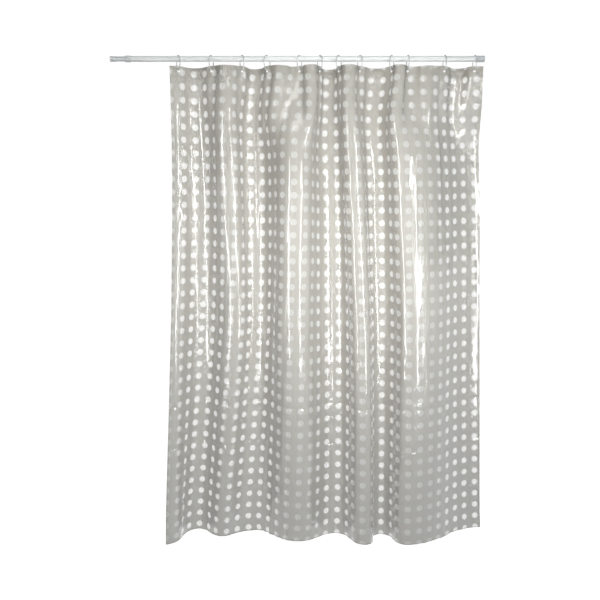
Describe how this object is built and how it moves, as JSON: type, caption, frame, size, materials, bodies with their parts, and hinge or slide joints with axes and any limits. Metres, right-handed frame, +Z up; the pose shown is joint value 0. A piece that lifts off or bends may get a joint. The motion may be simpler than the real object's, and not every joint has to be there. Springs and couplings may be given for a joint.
{
  "type": "shower curtain",
  "caption": "Translucent dotted vinyl shower curtain hung in folds from open plastic rings on a telescopic white tension rod with sprung rubber feet.",
  "frame": {"origin": "centre of the right foot's wall face, on the rod's axis", "axes": "+X along the rod into the right wall, +Z up, -Y to the front of the curtain"},
  "size_m": [1.5263, 0.1995, 2.0413],
  "materials": {
    "rod_enamel": "white baked enamel, satin to glossy",
    "foot_rubber": "off-white rubber, matte",
    "rod_plastic": "white moulded plastic, satin",
    "spring_steel": "bright drawn wire",
    "ring_plastic": "white moulded plastic, glossy",
    "sheet_vinyl": "glossy translucent grey vinyl film with a printed grid of satin white dots"
  },
  "bodies": {
    "rod": {"outer_tube": "rod_enamel", "foot_right": "foot_rubber", "end_plug": "rod_plastic", "lock_collet": "rod_plastic"},
    "collar": {"lock_collar": "rod_plastic"},
    "inner": {"inner_tube": "rod_enamel", "guide_bush": "rod_plastic", "spring_seat": "rod_plastic", "tension_spring": "spring_steel"},
    "plunger": {"plunger": "rod_plastic", "foot_left": "foot_rubber"},
    "end_ring": {"ring_12": "ring_plastic"},
    "sheet": {"curtain_sheet": "sheet_vinyl", "header_band": "sheet_vinyl"},
    "ring_01": {"ring_01": "ring_plastic"},
    "ring_02": {"ring_02": "ring_plastic"},
    "ring_03": {"ring_03": "ring_plastic"},
    "ring_04": {"ring_04": "ring_plastic"},
    "ring_05": {"ring_05": "ring_plastic"},
    "ring_06": {"ring_06": "ring_plastic"},
    "ring_07": {"ring_07": "ring_plastic"},
    "ring_08": {"ring_08": "ring_plastic"},
    "ring_09": {"ring_09": "ring_plastic"},
    "ring_10": {"ring_10": "ring_plastic"},
    "ring_11": {"ring_11": "ring_plastic"}
  },
  "joints": [
    {"name": "collar_lock", "type": "hinge", "parent": "rod", "child": "collar", "pos_m": [-1.41201, 0, 0], "axis": [1, 0, 0], "range_deg": [0, 90]},
    {"name": "rod_extend", "type": "slide", "parent": "rod", "child": "inner", "axis": [-1, 0, 0], "range_m": [-0.025, 0.45]},
    {"name": "foot_press", "type": "slide", "parent": "inner", "child": "plunger", "axis": [1, 0, 0], "range_m": [0, 0.008], "stiffness_N_per_m": 5000, "deforming": ["tension_spring"]},
    {"name": "curtain_travel", "type": "slide", "parent": "rod", "child": "end_ring", "axis": [1, 0, 0], "range_m": [-0.15, 0]},
    {"name": "sheet_swing", "type": "hinge", "parent": "end_ring", "child": "sheet", "pos_m": [-0.038, 0, -0.0427], "axis": [1, 0, 0], "range_deg": [-8, 8]},
    {"name": "curtain_draw", "type": "slide", "parent": "end_ring", "child": "ring_01", "axis": [1, 0, 0], "range_m": [0, 0.776], "deforming": ["curtain_sheet", "header_band"]},
    {"name": "ring_02_slide", "type": "slide", "parent": "end_ring", "child": "ring_02", "axis": [1, 0, 0], "range_m": [0, 0.6898]},
    {"name": "ring_03_slide", "type": "slide", "parent": "end_ring", "child": "ring_03", "axis": [1, 0, 0], "range_m": [0, 0.6093]},
    {"name": "ring_04_slide", "type": "slide", "parent": "end_ring", "child": "ring_04", "axis": [1, 0, 0], "range_m": [0, 0.5439]},
    {"name": "ring_05_slide", "type": "slide", "parent": "end_ring", "child": "ring_05", "axis": [1, 0, 0], "range_m": [0, 0.4588]},
    {"name": "ring_06_slide", "type": "slide", "parent": "end_ring", "child": "ring_06", "axis": [1, 0, 0], "range_m": [0, 0.4054]},
    {"name": "ring_07_slide", "type": "slide", "parent": "end_ring", "child": "ring_07", "axis": [1, 0, 0], "range_m": [0, 0.3559]},
    {"name": "ring_08_slide", "type": "slide", "parent": "end_ring", "child": "ring_08", "axis": [1, 0, 0], "range_m": [0, 0.3005]},
    {"name": "ring_09_slide", "type": "slide", "parent": "end_ring", "child": "ring_09", "axis": [1, 0, 0], "range_m": [0, 0.2173]},
    {"name": "ring_10_slide", "type": "slide", "parent": "end_ring", "child": "ring_10", "axis": [1, 0, 0], "range_m": [0, 0.1751]},
    {"name": "ring_11_slide", "type": "slide", "parent": "end_ring", "child": "ring_11", "axis": [1, 0, 0], "range_m": [0, 0.0787]}
  ],
  "couplings": [
    {"joint": "ring_02_slide", "follows": "curtain_draw", "ratio": 0.88865},
    {"joint": "ring_03_slide", "follows": "curtain_draw", "ratio": 0.78492},
    {"joint": "ring_04_slide", "follows": "curtain_draw", "ratio": 0.70071},
    {"joint": "ring_05_slide", "follows": "curtain_draw", "ratio": 0.59096},
    {"joint": "ring_06_slide", "follows": "curtain_draw", "ratio": 0.52212},
    {"joint": "ring_07_slide", "follows": "curtain_draw", "ratio": 0.45836},
    {"joint": "ring_08_slide", "follows": "curtain_draw", "ratio": 0.38698},
    {"joint": "ring_09_slide", "follows": "curtain_draw", "ratio": 0.27977},
    {"joint": "ring_10_slide", "follows": "curtain_draw", "ratio": 0.22537},
    {"joint": "ring_11_slide", "follows": "curtain_draw", "ratio": 0.10119}
  ]
}
